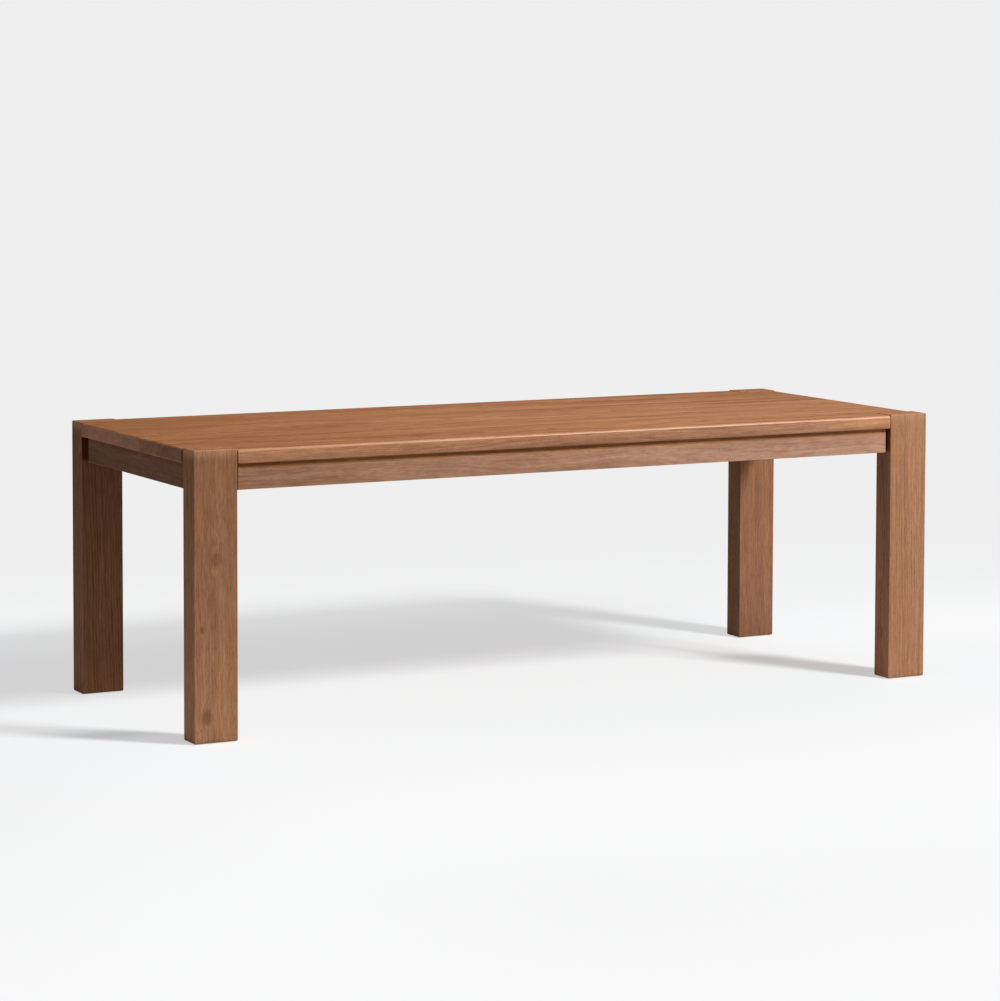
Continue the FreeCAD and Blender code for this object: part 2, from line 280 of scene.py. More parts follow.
class Wire:
    """An output socket of a shader node; sums and products of wires add Math nodes."""

    def __init__(self, finish, socket):
        self.finish = finish
        self.socket = socket

    def maths(self, operation, *values):
        """A Math node of this operation on the given values."""
        return self.finish.node("ShaderNodeMath", {"operation": operation}, dict(enumerate(values)))

    def __add__(self, other):
        return self.maths("ADD", self, other)

    def __radd__(self, other):
        return self.maths("ADD", other, self)

    def __sub__(self, other):
        return self.maths("SUBTRACT", self, other)

    def __rsub__(self, other):
        return self.maths("SUBTRACT", other, self)

    def __mul__(self, other):
        return self.maths("MULTIPLY", self, other)

    def __truediv__(self, other):
        return self.maths("DIVIDE", self, other)

    def __pow__(self, other):
        return self.maths("POWER", self, other)

    def __abs__(self):
        return self.maths("ABSOLUTE", self)

    def least(self, other):
        """The smaller of two values."""
        return self.maths("MINIMUM", self, other)

    def most(self, other):
        """The larger of two values."""
        return self.maths("MAXIMUM", self, other)

    def fraction(self):
        """The part of a value after its whole number."""
        return self.maths("FRACT", self)

    def rise(self, low, high):
        """A soft step from 0 at low to 1 at high."""
        return self.finish.node(
            "ShaderNodeMapRange",
            {"interpolation_type": "SMOOTHSTEP"},
            {"Value": self, "From Min": low, "From Max": high},
        )


class Finish:
    """A material's node tree, built from a new material or from the world."""

    def __init__(self, owner):
        owner.use_nodes = True
        self.owner = owner
        self.tree = owner.node_tree
        self.tree.nodes.clear()

    def node(self, kind, settings=(), inputs=(), outputs=(0,)):
        """Adds a node: its settings first, then the values or links of its sockets."""
        made = self.tree.nodes.new(kind)
        for name, value in dict(settings).items():
            if name == "stops":
                lay_stops(made.color_ramp, value)
            else:
                setattr(made, name, value)
        for key, value in dict(inputs).items():
            if isinstance(value, Wire):
                self.tree.links.new(value.socket, made.inputs[key])
            else:
                made.inputs[key].default_value = value
        wires = [Wire(self, made.outputs[key]) for key in outputs if made.outputs]
        if len(wires) == 1:
            return wires[0]
        return wires

    def split(self, vector, axes="XYZ"):
        """The parts of a vector along these axes."""
        return self.node("ShaderNodeSeparateXYZ", {}, {"Vector": vector}, tuple(axes))

    def noise(self, x, y, z, detail):
        """Smooth noise from 0 to 1 at a point whose three coordinates are already scaled."""
        point = self.node("ShaderNodeCombineXYZ", {}, {"X": x, "Y": y, "Z": z})
        return self.node(
            "ShaderNodeTexNoise",
            {"noise_dimensions": "3D"},
            {"Vector": point, "Scale": 1.0, "Detail": detail, "Roughness": 0.5},
            ("Fac",),
        )

    def blend(self, factor, first, second, kind="MIX"):
        """A colour between two others, or another kind of blend of the two."""
        return self.node(
            "ShaderNodeMix",
            {"data_type": "RGBA", "blend_type": kind},
            {0: factor, 6: first, 7: second},
            (2,),
        )

    def multiply(self, factor, shade, colour):
        """A colour multiplied by another as far as the factor."""
        return self.blend(factor, shade, colour, "MULTIPLY")

    def shader(self, **sockets):
        """A Principled surface; a keyword's underscores stand for the spaces of a socket's name."""
        inputs = {key.replace("_", " "): value for key, value in sockets.items()}
        return self.node("ShaderNodeBsdfPrincipled", {}, inputs)

    def close(self, shader, kind="ShaderNodeOutputMaterial"):
        """Links the finished shader to the output."""
        self.node(kind, {}, {"Surface": shader})


def lay_stops(ramp, stops):
    """Sets a colour ramp's stops from pairs of place and colour."""
    while len(ramp.elements) < len(stops):
        ramp.elements.new(1.0)
    for element, (place, colour) in zip(ramp.elements, stops):
        element.position = place
        element.color = colour


def grey(level):
    """A neutral node colour of one brightness."""
    return (level, level, level, 1.0)


def tint(colour, red, green, blue):
    """A colour multiplied channel by channel, as an opaque node colour."""
    factors = (red, green, blue)
    mixed = [min(1.0, c * f) for c, f in zip(colour, factors)]
    return (*mixed, 1.0)


def new_finish(name):
    """An empty material of this name."""
    return Finish(bpy.data.materials.new(name))


def dress(node, material):
    """Gives a CAD node's object its one material."""
    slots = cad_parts[node].data.materials
    slots.clear()
    slots.append(material)


@dataclass
class Grain:
    """How the log ran through one piece, how its markings show, its stain, and its painted light and
    shade.
    """

    # World axis of the grain, then the pith's place and the grain's slope in the directions across
    axis: str
    pith: tuple
    lean: tuple = (0.0, 0.0)
    # Start of the noise, mean tone, and the tone's drift towards either end
    seed: float = 0.0
    tone: float = 0.0
    drift: float = 0.0
    # Turn about the upright axis, for a piece that lies askew
    turn: float = 0.0
    # Strength of the markings, width of the rings, and calm of the markings on the ends
    rings: float = 1.0
    ring_scale: float = 1.0
    streaks: float = 1.0
    lines: float = 1.0
    dashes: float = 1.0
    mottle: float = 1.0
    wave: float = 1.0
    calm_ends: float = 0.0
    # Knots on the front face: place along and across, size and strength
    knots: tuple = ()
    # Cast of the stain: how warm, how far a painted sheen cools it towards the far end, how much it
    # varies
    warm: float = 0.0
    sheen_end: float = 0.0
    cast: float = 1.0
    # Upright faces paler by lighter stain on side grain and by painted sheen, still paler towards the
    # front board's ends, and painted light and shade down its front face
    pale_and_sheen_sides: float = 0.0
    lit_ends: float = 0.0
    painted_fall: float = 0.0
    # Painted light of the left face (shade where below 1), and painted light on the uppermost strips
    # of the front and left faces
    painted_left_light: tuple = ()
    crown_light_front: tuple = ()
    crown_light_left: tuple = ()
    # Painted shade in hollows: at a seam, by its place across, under an overhang, and in a pocket,
    # by the ways that the leg's outer faces look and the pocket's lower level
    seam: float = 0.0
    overhang_shade: float = 0.0
    pocket_shade: tuple = ()
    # How much the upper edges catch the light, in the coat and as a painted highlight in the colour
    glint: float = 0.0


class Timber:
    """A stained timber finish whose rings, streaks and pores run through the solid piece."""

    def __init__(self, name, colour, grain, box):
        self.finish = new_finish(name)
        self.colour = colour
        self.grain = grain
        low, high = box
        centre = [(a + b) / 2 for a, b in zip(low, high)]
        half = [(b - a) / 2 for a, b in zip(low, high)]
        self.half = [half[i] for i in GRAIN_ORDER[grain.axis]]
        turn = Vector(GRAIN_TURNS[grain.axis]) + Vector((0.0, 0.0, grain.turn))
        place, facing = self.finish.node("ShaderNodeTexCoord", {}, {}, ("Object", "Normal"))
        own = self.finish.node(
            "ShaderNodeMapping",
            {"vector_type": "TEXTURE"},
            {"Vector": place, "Location": centre, "Rotation": turn},
        )
        self.x, self.y, self.z = self.finish.split(own)
        self.facing_x, self.facing_y, self.facing_z = self.finish.split(facing)
        self.upright = 1.0 - abs(self.facing_z).rise(*LOOKS)
        self.front = (self.facing_y * -1.0).rise(*LOOKS)
        self.left = (self.facing_x * -1.0).rise(*LOOKS)

    def mark(self, along, across, detail, start=0.0, shift=()):
        """Noise about 0, by its cycles to a metre along and across the grain."""
        y = self.y * across
        z = self.z * across
        if shift:
            y = y + shift[0]
            z = z + shift[1]
        return self.finish.noise(self.x * along + (self.grain.seed + start), y, z, detail) - 0.5

    def streak(self, radius, along, outward, sideways, upward, detail, start=0.0):
        """Noise about 0 that follows the rings, by its cycles to a metre each way."""
        x = self.x * along + (self.grain.seed + start)
        z = self.z * upward + self.y * sideways
        return self.finish.noise(x, radius * outward, z, detail) - 0.5

    def log(self):
        """Distance from the pith, which wanders and swells round knots, and the knots' darkness."""
        x, y, z, grain = self.x, self.y, self.z, self.grain
        wander_y = self.mark(along=1.9, across=7.0, detail=1.5, shift=(0.0, 3.1))
        wander_z = self.mark(along=1.9, across=7.0, detail=1.5, start=40.0, shift=(8.3, 0.0))
        ripple = self.mark(along=15.0, across=22.0, detail=1.0, shift=(0.0, 5.0))
        ripple = ripple * (RIPPLE * grain.wave)
        across = y - grain.pith[0] - x * grain.lean[0] + wander_y * WANDER + ripple
        deep = z - grain.pith[1] - x * grain.lean[1] + wander_z * WANDER + ripple
        radius = (across * across + deep * deep) ** 0.5
        dark = 0.0
        for along, side, size, strength in grain.knots:
            reach = ((x - along) * (x - along) * KNOT_STRETCH + (z - side) * (z - side)) ** 0.5
            near = y.rise(0.0, -self.half[1])
            swell = 1.0 - reach.rise(*[size * share for share in KNOT_SWELL_SHARES])
            radius = radius + swell * near * (size * KNOT_PUSH_SHARE)
            core = 1.0 - reach.rise(*[size * share for share in KNOT_CORE_SHARES])
            eye = self.finish.noise(reach * 260.0, x * 60.0, z * 60.0 + grain.seed, 1.0)
            dark = core * near * strength * (eye * 0.6 + 0.45) + dark
        return radius, dark

    def tone_shift(self):
        """How far the tone lies from the plain stain."""
        drift = self.x * (self.grain.drift / self.half[0])
        if self.grain.axis != "Z":
            return drift + self.grain.tone
        # A leg's left face keeps one tone along its length, and its upper end the plain stain
        return (drift * (1.0 - self.left) + self.grain.tone) * (1.0 - self.facing_z.rise(0.6, 0.9))

    def body(self, tone):
        """Colour of the wood by its tone: 0.5 is the plain stain, and less is darker."""
        stops = [(place, tint(self.colour, *factors)) for place, factors in BODY_STOPS]
        return self.finish.node("ShaderNodeValToRGB", {"stops": stops}, {"Fac": tone})

    def cast(self, shade):
        """The stain wanders between golden and pinkish, and on some pieces a painted sheen cools it
        towards one end.
        """
        grain = self.grain
        wander = self.mark(along=2.4, across=16.0, detail=1.5, start=61.0)
        hue_and_sheen = wander.rise(-0.20, 0.20) - grain.warm
        # Painted sheen: the colour greys and cools towards the far end
        if grain.sheen_end:
            along = self.x.rise(-self.half[0], self.half[0])
            hue_and_sheen = hue_and_sheen * (1.0 - grain.sheen_end) + along * grain.sheen_end
        hue_and_sheen = hue_and_sheen * grain.cast + 0.5 * (1.0 - grain.cast)
        return self.finish.multiply(1.0, shade, self.finish.blend(hue_and_sheen, GOLDEN, PINKISH))

    def stain_and_light_faces(self, shade):
        """Upright faces are paler by less stain and a painted sheen; painted light and shade on some
        faces.
        """
        grain, multiply = self.grain, self.finish.multiply
        length = self.half[0]
        # Lighter stain on side grain, and painted sheen, make the upright faces paler
        if grain.pale_and_sheen_sides:
            shade = multiply(self.upright * grain.pale_and_sheen_sides, shade, PALE_AND_SHEEN_SIDE)
        if grain.lit_ends:
            first = 1.0 - self.x.rise(length * -0.35, length * -0.09)
            shade = multiply(self.upright * first * grain.lit_ends, shade, LIT_LEFT_END)
            last = self.x.rise(length * 0.70, length * 0.80)
            shade = multiply(self.upright * last * grain.lit_ends, shade, LIT_RIGHT_END)
        # Painted light and shade: the front face is lighter at its top and darker at its bottom
        if grain.painted_fall:
            height = self.z.rise(-self.half[2], self.half[2])
            painted_fall = self.finish.blend(height, PAINTED_SHADE_LOW, PAINTED_LIGHT_HIGH)
            shade = multiply(self.front * grain.painted_fall, shade, painted_fall)
        # Painted light: the uppermost strip of a leg's front and left faces is lighter, as lit from
        # above
        for side, pale in ((self.front, grain.crown_light_front), (self.left, grain.crown_light_left)):
            if pale:
                crown = self.x.rise(length - CROWN_LIGHT_DEPTH, length + CROWN_LIGHT_PAST)
                shade = multiply(side * crown, shade, (*pale, 1.0))
        # Painted light on the left faces, and on the front right leg painted shade
        if grain.painted_left_light:
            shade = multiply(self.left, shade, (*grain.painted_left_light, 1.0))
        return shade

    def shade_hollows(self, shade):
        """Painted shade at a seam, under an overhang and in a pocket."""
        grain, multiply = self.grain, self.finish.multiply
        # Painted shade on the front board's left end, in the gap beside the front left leg
        if grain.seam:
            joint = 1.0 - self.y.rise(*[grain.seam + gap for gap in SEAM_SHADE_GAPS])
            shade = multiply(self.left * joint, shade, PAINTED_SEAM_SHADE)
        # Painted shade in a strip along an apron's upper edge, where the top's overhang shades it
        if grain.overhang_shade:
            upper = self.z.rise(*[self.half[2] - depth for depth in OVERHANG_SHADE_DEPTHS])
            shade = multiply(upper * grain.overhang_shade, shade, PAINTED_OVERHANG_SHADE)
        # Painted shade on a leg's inner faces above the aprons' lower edge, in the pocket by the
        # aprons and the top
        if grain.pocket_shade:
            side_x, side_y, level = grain.pocket_shade
            outer = (self.facing_x * side_x).most(self.facing_y * side_y).most(self.facing_z)
            above = self.x.rise(*[level + gap for gap in POCKET_SHADE_GAPS])
            shade = multiply((1.0 - outer.rise(0.1, 0.5)) * above, shade, PAINTED_POCKET_SHADE)
        return shade

    def rubbed(self):
        """1 along the eased edges, which are rubbed paler."""
        gaps = [half - abs(part) for half, part in zip(self.half, (self.x, self.y, self.z))]
        edge_gap = gaps[0].least(gaps[1]).most(gaps[0].most(gaps[1]).least(gaps[2]))
        return 1.0 - edge_gap.rise(*RUBBED_DEPTHS)

    def arris(self):
        """Where an upper edge catches the light, on a board more so towards its right end."""
        slope = self.facing_z.rise(0.12, 0.35) * (1.0 - self.facing_z.rise(0.80, 0.95))
        arris = slope * self.grain.glint * (1.0 - abs(self.facing_x).rise(0.1, 0.4))
        if self.grain.axis == "X":
            arris = arris * (self.x.rise(-self.half[0], self.half[0]) * 0.65 + 0.70)
        return arris

    def finished(self, ring_width, roughness, worn):
        """The material, with all its markings, stains, painted light and shade, and relief."""
        f, grain, colour = self.finish, self.grain, self.colour
        radius, knot_dark = self.log()

        # Streaks of several widths follow the rings
        wide = self.streak(radius, along=0.55, outward=26.0, sideways=2.0, upward=2.0, detail=1.0)
        middle = self.streak(
            radius, along=1.1, outward=95.0, sideways=3.0, upward=5.0, detail=1.5, start=11.0
        )
        narrow = self.streak(
            radius, along=2.6, outward=300.0, sideways=16.0, upward=16.0, detail=1.0, start=23.0
        )
        ring = (radius / (ring_width * grain.ring_scale) + middle * 1.6).fraction()
        late = ring.rise(0.35, 0.95) * (1.0 - ring.rise(0.95, 1.0))

        # Short markings: fibres, dashes, flecks, mottling and pores
        fibre = self.mark(along=7.0, across=520.0, detail=2.0)
        dash = self.mark(along=22.0, across=240.0, detail=1.0, start=9.0)
        fleck = self.mark(along=24.0, across=90.0, detail=1.0, start=31.0)
        mottle = self.mark(along=9.0, across=30.0, detail=2.0, start=5.0)
        pore_field = self.mark(along=70.0, across=900.0, detail=0.0)
        pores = (pore_field + late * 0.05).rise(0.12, 0.22)

        # Tone, then the colours, stains, painted light and painted shade on it
        figure = (
            (wide * WEIGHTS["wide"] + middle * WEIGHTS["middle"]) * grain.streaks
            + narrow * (WEIGHTS["narrow"] * grain.lines)
            + fibre * WEIGHTS["fibre"]
            + dash * (WEIGHTS["dash"] * grain.dashes)
            + (fleck * WEIGHTS["fleck"] + mottle * WEIGHTS["mottle"]) * grain.mottle
            - (late - 0.25) * (WEIGHTS["late"] * grain.rings)
        )
        if grain.calm_ends:
            figure = figure * (1.0 - abs(self.facing_x).rise(0.6, 0.9) * grain.calm_ends)
        shade = self.body(figure + self.tone_shift() + 0.5)
        shade = f.blend(pores * PORE_SHARE, shade, tint(colour, *PORE_TINT))
        if grain.knots:
            shade = f.blend(knot_dark.least(1.0) * KNOT_SHARE, shade, tint(colour, *KNOT_TINT))
        shade = self.shade_hollows(self.stain_and_light_faces(self.cast(shade)))
        arris = self.arris()
        shade = f.blend(self.rubbed() * (worn * RUBBED_SHARE), shade, tint(colour, *RUBBED_TINT))
        # Painted highlight: the base colour is lightened where the upper edges catch the light
        shade = f.blend(arris * GLINT_SHARE, shade, tint(colour, *GLINT_TINT))

        # A fine relief of fibres, lines and dashes, with the pores sunk in
        relief = fibre * 0.35 - pores * 0.8 + narrow * 0.25 + dash * 0.3
        normal = f.node("ShaderNodeBump", {}, {"Strength": 0.35, "Distance": 0.0005, "Height": relief})
        f.close(
            f.shader(
                Base_Color=shade,
                Roughness=roughness + fibre * 0.14 + pores * 0.10,
                Specular_IOR_Level=0.0,
                Coat_Weight=arris * GLINT_COAT,
                Coat_Roughness=0.36,
                Normal=normal,
            )
        )
        return f.owner


def wood_piece(node, colour, grain, box=None, worn=1.0):
    """Dresses one CAD node in timber of its own grain."""
    settings = bpy.context.scene.table_wood
    timber = Timber(node + "_timber", colour, grain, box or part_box(node))
    dress(node, timber.finished(settings.ring_width, settings.roughness, worn))


def zinc(name, colour):
    """Bright zinc plating with a slight cloudiness."""
    f = new_finish(name)
    place = f.node("ShaderNodeTexCoord", {}, {}, ("Object",))
    x, y, z = f.split(place)
    cloud = f.noise(x * 260.0, y * 260.0, z * 260.0, 3.0)
    grit = f.noise(x * 2400.0, y * 2400.0, z * 2400.0, 1.0)
    dull = tint(colour, 0.78, 0.78, 0.76)
    bright = tint(colour, 1.1, 1.1, 1.12)
    shade = f.blend(cloud.rise(0.3, 0.7), dull, bright)
    normal = f.node("ShaderNodeBump", {}, {"Strength": 0.2, "Distance": 0.0001, "Height": grit})
    f.close(
        f.shader(
            Base_Color=shade,
            Metallic=1.0,
            Roughness=0.30 + cloud * 0.18,
            Normal=normal,
        )
    )
    return f.owner


def nylon(name, colour):
    """Moulded nylon with a fine matt grain."""
    f = new_finish(name)
    place = f.node("ShaderNodeTexCoord", {}, {}, ("Object",))
    x, y, z = f.split(place)
    grit = f.noise(x * 1800.0, y * 1800.0, z * 1800.0, 2.0)
    scuff = f.noise(x * 90.0, y * 90.0, z * 90.0, 3.0)
    plain = tint(colour, 0.85, 0.85, 0.85)
    rubbed = tint(colour, 1.6, 1.6, 1.6)
    shade = f.blend(scuff.rise(0.35, 0.75), plain, rubbed)
    normal = f.node("ShaderNodeBump", {}, {"Strength": 0.25, "Distance": 0.0002, "Height": grit})
    f.close(f.shader(Base_Color=shade, Roughness=0.50 + grit * 0.2, Normal=normal))
    return f.owner


class TABLE_OT_top_boards(bpy.types.Operator):
    """Dresses the boards of the top, each with a grain of its own"""

    bl_idname = "table.top_boards"
    bl_label = "Top boards"

    def execute(self, context):
        colour = context.scene.table_wood.top_colour
        low = Vector(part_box("top_board_1")[0])
        high = Vector(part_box("top_board_%d" % BOARD_COUNT)[1])
        # Pith from the board's middle, sideways and in depth, tone, drift and share of the painted
        # light on the left end
        boards = (
            (0.05, -0.13, 0.02, -0.04, 0.47),
            (-0.09, -0.10, 0.02, 0.0, 0.57),
            (0.07, 0.16, 0.08, 0.07, 0.68),
            (0.02, -0.18, -0.02, 0.04, 0.87),
            (-0.06, -0.11, -0.04, 0.10, 1.06),
            (0.08, -0.15, 0.01, 0.08, 1.10),
            (-0.04, 0.13, 0.0, 0.03, 0.95),
        )
        leg_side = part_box("leg_front_left")[1].y
        # Only the front board: paler ends, painted light and shade down its front face, a painted
        # highlight and coat on its upper edge, and painted shade at its seam with the front left leg
        front_board = {"lit_ends": 1.0, "painted_fall": 1.0, "glint": 1.0, "seam": leg_side}
        for number, (side, deep, tone, drift, share) in enumerate(boards, 1):
            node = "top_board_%d" % number
            board_low, board_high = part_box(node)
            middle = (board_low.y + board_high.y) / 2
            grain = Grain(
                "X", (middle + side, deep), (0.012 * (-1) ** number, 0.01), 7.3 * number, tone,
                drift=drift, streaks=1.5, dashes=0.8, calm_ends=0.5, sheen_end=0.75, pale_and_sheen_sides=1.0,
                painted_left_light=tuple(channel * share for channel in PAINTED_END_LIGHT),
                **(front_board if number == 1 else {}),
            )
            wood_piece(node, colour, grain, (low, high))
        return {"FINISHED"}


class TABLE_OT_legs(bpy.types.Operator):
    """Dresses the four through legs, each with a grain of its own"""

    bl_idname = "table.legs"
    bl_label = "Legs"

    def execute(self, context):
        colour = context.scene.table_wood.leg_colour
        leg_low, leg_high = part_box("leg_front_left")
        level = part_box("apron_front")[0].z - (leg_low.z + leg_high.z) / 2
        grains = {
            "front_left": Grain(
                "Z", (0.05, 0.13), (0.02, 0.02), 3.0, 0.04, drift=-0.07, rings=0.4, streaks=0.7,
                dashes=1.0, mottle=0.5, warm=0.45, glint=0.3, pocket_shade=(-1.0, -1.0, level),
                crown_light_front=(1.46, 1.65, 1.90), crown_light_left=(2.0, 2.0, 2.0),
                knots=(
                    (-0.316, 0.026, 0.013, 1.6),
                    (-0.085, 0.040, 0.006, 1.2),
                    (0.093, 0.0, 0.013, 1.2),
                    (0.21, 0.012, 0.017, 0.5),
                ),
            ),
            "front_right": Grain(
                "Z", (0.02, 0.14), (0.01, 0.01), 17.0, 0.07, drift=0.08, rings=0.4, streaks=0.5,
                lines=2.0, dashes=0.8, mottle=0.3, cast=0.5, glint=0.3, pocket_shade=(1.0, -1.0, level),
                crown_light_front=(1.17, 1.22, 1.30), painted_left_light=(0.94, 0.93, 0.92),
            ),
            "back_left": Grain(
                "Z", (-0.05, 0.09), (0.05, 0.05), 29.0, -0.28, drift=-0.22, rings=1.3, ring_scale=2.6,
                streaks=0.5, lines=0.5, dashes=0.7, mottle=0.4, wave=3.0, warm=0.6,
                painted_left_light=(1.27, 1.36, 1.60), pocket_shade=(-1.0, 1.0, level), crown_light_left=(1.9, 2.0, 2.0),
            ),
            "back_right": Grain(
                "Z", (0.06, 0.12), (0.02, 0.015), 41.0, -0.05, rings=0.4, streaks=0.5,
                lines=1.4, dashes=0.8, mottle=0.4, cast=0.6, pocket_shade=(1.0, 1.0, level),
                painted_left_light=(1.04, 1.14, 1.25),
            ),
        }
        for corner in CORNERS:
            wood_piece("leg_" + corner, colour, grains[corner])
        return {"FINISHED"}


class TABLE_OT_aprons(bpy.types.Operator):
    """Dresses the four aprons, with the grain along each"""

    bl_idname = "table.aprons"
    bl_label = "Aprons"

    def execute(self, context):
        colour = context.scene.table_wood.apron_colour
        grains = {
            "apron_front": Grain(
                "X", (0.07, -0.04), (0.01, 0.005), 53.0, -0.04, drift=0.10, rings=0.6, dashes=0.7,
                sheen_end=0.75, overhang_shade=1.0,
            ),
            "apron_back": Grain("X", (-0.08, 0.05), (0.01, 0.004), 61.0, 0.0, overhang_shade=1.0),
            "apron_left": Grain(
                "Y", (0.09, 0.03), (0.01, 0.01), 67.0, -0.42, rings=0.2, streaks=0.4, lines=0.4,
                dashes=0.4, mottle=0.5, overhang_shade=0.3,
            ),
            "apron_right": Grain("Y", (-0.06, -0.05), (0.01, 0.01), 71.0, 0.0, rings=0.6),
        }
        for node, grain in grains.items():
            wood_piece(node, colour, grain)
        return {"FINISHED"}


class TABLE_OT_cross_rails(bpy.types.Operator):
    """Dresses the cross rails in plain hardwood"""

    bl_idname = "table.cross_rails"
    bl_label = "Cross rails"

    def execute(self, context):
        colour = context.scene.table_wood.hidden_colour
        for number in range(1, RAIL_COUNT + 1):
            grain = Grain("Y", (0.05, 0.04 * number), (0.01, 0.01), 80.0 + 9.0 * number)
            wood_piece("cross_rail_%d" % number, colour, grain, worn=0.3)
        return {"FINISHED"}


class TABLE_OT_corner_blocks(bpy.types.Operator):
    """Dresses the corner blocks in plain hardwood, with the grain along each block"""

    bl_idname = "table.corner_blocks"
    bl_label = "Corner blocks"

    def execute(self, context):
        colour = context.scene.table_wood.hidden_colour
        turns = {"front_left": -0.25, "front_right": 0.25, "back_left": 0.25, "back_right": -0.25}
        for number, corner in enumerate(CORNERS):
            seed = 120.0 + 5.0 * number
            grain = Grain("X", (0.06, 0.03), seed=seed, turn=turns[corner] * math.pi)
            wood_piece("corner_block_" + corner, colour, grain, worn=0.0)
        return {"FINISHED"}


class TABLE_OT_hardware(bpy.types.Operator):
    """Dresses the bolts, washers, nuts, screws and clips in zinc plating"""

    bl_idname = "table.hardware"
    bl_label = "Steel hardware"

    def execute(self, context):
        plating = zinc("zinc_plating", context.scene.table_hardware.steel_colour)
        for node in (
            "leg_hanger_bolts",
            "leg_bolt_washers",
            "leg_bolt_nuts",
            "corner_block_screws",
            "top_clips",
            "top_clip_screws",
            "cross_rail_screws",
        ):
            dress(node, plating)
        return {"FINISHED"}


class TABLE_OT_glides(bpy.types.Operator):
    """Dresses the floor glides in moulded nylon"""

    bl_idname = "table.glides"
    bl_label = "Glides"

    def execute(self, context):
        moulding = nylon("glide_nylon", context.scene.table_hardware.nylon_colour)
        for corner in CORNERS:
            dress("glide_" + corner, moulding)
        return {"FINISHED"}


def add_object(name, data):
    """Links new data to the scene as an object."""
    made = bpy.data.objects.new(name, data)
    bpy.context.scene.collection.objects.link(made)
    return made


def seen_directly(finish):
    """1 for rays from the camera, from a mirror or through glass, and 0 for light that bounces."""
    camera, glossy, through = finish.node(
        "ShaderNodeLightPath", {}, {}, ("Is Camera Ray", "Is Glossy Ray", "Is Transmission Ray")
    )
    return camera.most(glossy).most(through)


def shadow_band(bearing, middle, core, edge):
    """1 in the core of a leg's shadow that fans out from below the lamp, and 0 past its edge."""
    return 1.0 - abs(bearing - middle).rise(core, edge)


def floor_glow(f, x, y, away, fade, background):
    """The floor's own light as the camera sees it, deeper or paler along the front legs' shadows."""
    bearing = (x - KEY_PLACE[0]) / (y - KEY_PLACE[1]).most(0.1)
    behind = y.rise(-0.43, -0.37)
    right_band = shadow_band(bearing, RIGHT_BEARING, 0.008, 0.034)
    left_band = shadow_band(bearing, LEFT_BEARING, 0.010, 0.042)
    right_deep = right_band * behind * (1.0 - y.rise(0.02, 0.16))
    left_deep = left_band * behind * (1.0 - y.rise(-0.21, -0.11))
    right_pale = right_band * y.rise(0.08, 0.22) * (1.0 - y.rise(0.35, 0.60))
    left_pale = left_band * y.rise(-0.15, -0.04) * (1.0 - y.rise(0.15, 0.35))

    # From the left to the right, from the front to the back, then along the shadows
    lit_glow = f.blend(x.rise(-2.0, 0.4), grey(0.535), grey(0.495))
    front_glow = f.blend(y.rise(-1.3, 0.5), lit_glow, grey(0.580))
    side_glow = f.blend(x.rise(0.75, 1.3) * y.rise(-0.4, 0.6), front_glow, grey(0.64))
    open_glow = f.blend(y.rise(0.8, 2.0), side_glow, grey(0.68))
    pale_glow = f.blend(right_pale.most(left_pale), open_glow, grey(0.65))
    right_core = f.blend(y.rise(-0.10, 0.02), grey(0.49), grey(0.465))
    right_glow = f.blend(right_deep, pale_glow, right_core)
    left_core = f.blend(y.rise(-0.30, -0.22), grey(0.50), grey(0.44))
    near_glow = f.blend(left_deep, right_glow, left_core)

    # Further off it passes into the background
    wall_near = y.rise(-2.0, 1.4).most(away.rise(2.9, 6.0))
    far_glow = f.blend(wall_near, grey(0.946), grey(background))
    dip = fade * (1.0 - fade) * x.rise(-2.0, -0.9) * (1.0 - y.rise(-0.9, -0.3))
    return f.multiply(dip, f.blend(fade, near_glow, far_glow), grey(0.80))


def floor_finish(background):
    """A seamless pale floor that keeps soft shadows near the table and fades into the background."""
    f = new_finish("seamless_floor")
    x, y = f.split(f.node("ShaderNodeTexCoord", {}, {}, ("Object",)), "XY")
    seen = seen_directly(f)
    aside = (abs(x) - TABLE_REACH[0]).most(0.0)
    ahead = (abs(y) - TABLE_REACH[1]).most(0.0)
    away = (aside * aside + ahead * ahead) ** 0.5

    # What the camera sees: lit paper near the table, an even glow further off
    fade = away.rise(0.6, 2.8)
    sheet = f.blend(x.rise(-2.2, 1.2), grey(0.985), grey(0.615))
    cast = f.blend(away.rise(0.05, 0.75), (0.95, 1.0, 1.015, 1.0), grey(1.0))
    paper = f.blend(fade, f.multiply(1.0, sheet, cast), grey(0.0))
    glow = floor_glow(f, x, y, away, fade, background)

    # What the table gets back: a bright pool round its feet
    reach = (aside * aside * 0.5 + ahead * ahead * 4.0) ** 0.5
    outside = away.rise(0.0, 0.04)
    under = (1.0 - outside) * x.rise(0.2, 0.9) * (1.0 - y.rise(-0.1, 0.3)) * 0.3
    pool = outside * (1.0 - reach.rise(0.5, 1.4)) * (1.0 - y.rise(0.0, 0.5) * 0.65) + under
    back = f.blend(pool, grey(0.0), FLOOR_BOUNCE)
    f.close(
        f.shader(
            Base_Color=f.blend(seen, grey(0.60), paper),
            Specular_IOR_Level=0.0,
            Roughness=1.0,
            Emission_Color=f.blend(seen, back, glow),
            Emission_Strength=1.0,
        )
    )
    return f.owner


def soft_box(name, power, width, place):
    """A square area lamp at a place, aimed at the table."""
    lamp = bpy.data.lights.new(name, "AREA")
    lamp.shape = "SQUARE"
    lamp.size = width
    lamp.energy = power
    made = add_object(name, lamp)
    made.visible_camera = False
    turn = (Vector(LAMP_TARGET) - Vector(place)).to_track_quat("-Z", "Y")
    made.matrix_world = Matrix.Translation(place) @ turn.to_matrix().to_4x4()
    return made


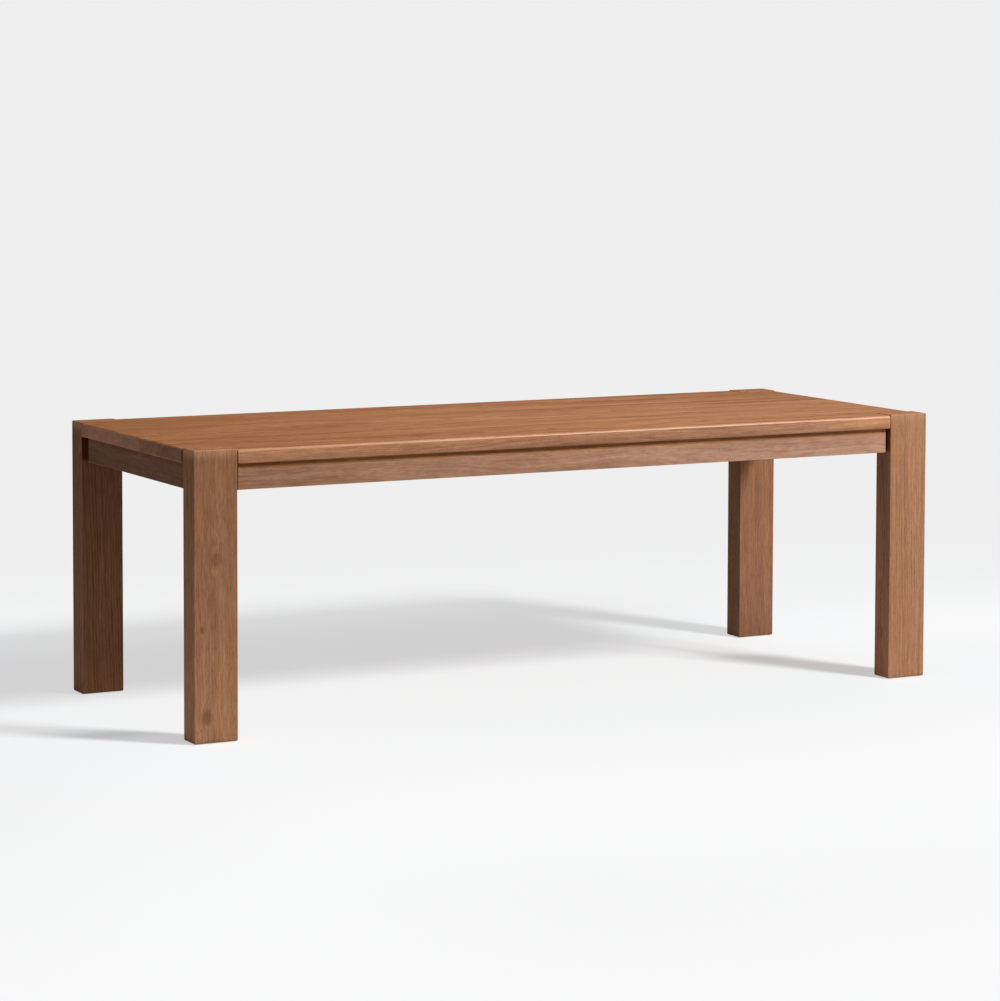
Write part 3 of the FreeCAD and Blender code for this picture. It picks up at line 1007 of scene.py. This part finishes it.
class TABLE_OT_stage(bpy.types.Operator):
    """Lays the floor, the light and the camera"""

    bl_idname = "table.stage"
    bl_label = "Studio stage"

    def execute(self, context):
        scene = context.scene
        settings = scene.table_stage
        scene.view_settings.view_transform = "Standard"

        mesh = bpy.data.meshes.new("studio_floor")
        sheet = bmesh.new()
        bmesh.ops.create_circle(sheet, cap_ends=True, radius=FLOOR_RADIUS, segments=FLOOR_SIDES)
        sheet.to_mesh(mesh)
        sheet.free()
        mesh.materials.append(floor_finish(settings.background))
        floor = add_object("studio_floor", mesh)

        world = bpy.data.worlds.new("studio_room")
        scene.world = world
        room = Finish(world)
        seen = seen_directly(room)
        light = settings.room_light
        shade = room.blend(seen, tint(ROOM_CAST, light, light, light), grey(settings.background))
        glow = room.node("ShaderNodeBackground", {}, {"Color": shade, "Strength": 1.0})
        room.close(glow, "ShaderNodeOutputWorld")

        soft_box("key_box", settings.lamp_power, settings.lamp_width, KEY_PLACE)
        above = soft_box("top_box", settings.top_power, TOP_WIDTH, TOP_PLACE)
        side = soft_box("side_box", settings.side_power, SIDE_WIDTH, SIDE_PLACE)
        side.data.color = SIDE_COLOUR
        spared = bpy.data.collections.new("spared_floor")
        spared.objects.link(floor)
        spared.collection_objects[0].light_linking.link_state = "EXCLUDE"
        above.light_linking.receiver_collection = spared
        side.light_linking.receiver_collection = spared

        camera = bpy.data.cameras.new("camera")
        camera.sensor_fit = "HORIZONTAL"
        camera.sensor_width = SENSOR_WIDTH
        camera.lens = settings.lens
        camera.shift_y = CAMERA_SHIFT
        camera.clip_end = CAMERA_FARTHEST
        viewpoint = add_object("camera", camera)
        viewpoint.matrix_world = camera_place(
            CAMERA_PLACE, CAMERA_YAW, CAMERA_PITCH, CAMERA_ROLL
        )
        scene.camera = viewpoint
        return {"FINISHED"}


def camera_place(place, yaw, pitch, roll):
    """The matrix of a camera that looks along yaw from +Y towards +X, pitched down and rolled."""
    ahead = Vector(
        (math.sin(yaw) * math.cos(pitch), math.cos(yaw) * math.cos(pitch), -math.sin(pitch))
    )
    level = Vector((math.cos(yaw), -math.sin(yaw), 0.0))
    upright = level.cross(ahead)
    right = level * math.cos(roll) + upright * math.sin(roll)
    up = upright * math.cos(roll) - level * math.sin(roll)
    turn = Matrix((right, up, -ahead)).transposed().to_4x4()
    return Matrix.Translation(place) @ turn


class TABLE_PT_sidebar(bpy.types.Panel):
    """Lists the table's groups of pieces and its settings"""

    bl_idname = "TABLE_PT_sidebar"
    bl_label = "Dining table"
    bl_space_type = "VIEW_3D"
    bl_region_type = "UI"
    bl_category = "Table"

    def draw(self, context):
        scene = context.scene
        for group in (scene.table_wood, scene.table_hardware, scene.table_stage):
            box = self.layout.box()
            for name in group.__annotations__:
                box.prop(group, name)
        for operator in OPERATORS:
            self.layout.operator(operator.bl_idname)


GROUPS = {"table_wood": TableWood, "table_hardware": TableHardware, "table_stage": TableStage}
OPERATORS = (
    TABLE_OT_stage,
    TABLE_OT_top_boards,
    TABLE_OT_legs,
    TABLE_OT_aprons,
    TABLE_OT_cross_rails,
    TABLE_OT_corner_blocks,
    TABLE_OT_hardware,
    TABLE_OT_glides,
)


def register():
    for group in GROUPS.values():
        bpy.utils.register_class(group)
    for operator in OPERATORS:
        bpy.utils.register_class(operator)
    bpy.utils.register_class(TABLE_PT_sidebar)
    for name, group in GROUPS.items():
        setattr(bpy.types.Scene, name, PointerProperty(type=group))


def unregister():
    for name in GROUPS:
        delattr(bpy.types.Scene, name)
    bpy.utils.unregister_class(TABLE_PT_sidebar)
    for operator in reversed(OPERATORS):
        bpy.utils.unregister_class(operator)
    for group in GROUPS.values():
        bpy.utils.unregister_class(group)


def main():
    register()
    bpy.ops.table.stage()
    bpy.ops.table.top_boards()
    bpy.ops.table.legs()
    bpy.ops.table.aprons()
    bpy.ops.table.cross_rails()
    bpy.ops.table.corner_blocks()
    bpy.ops.table.hardware()
    bpy.ops.table.glides()


if __name__ == "__main__":
    main()
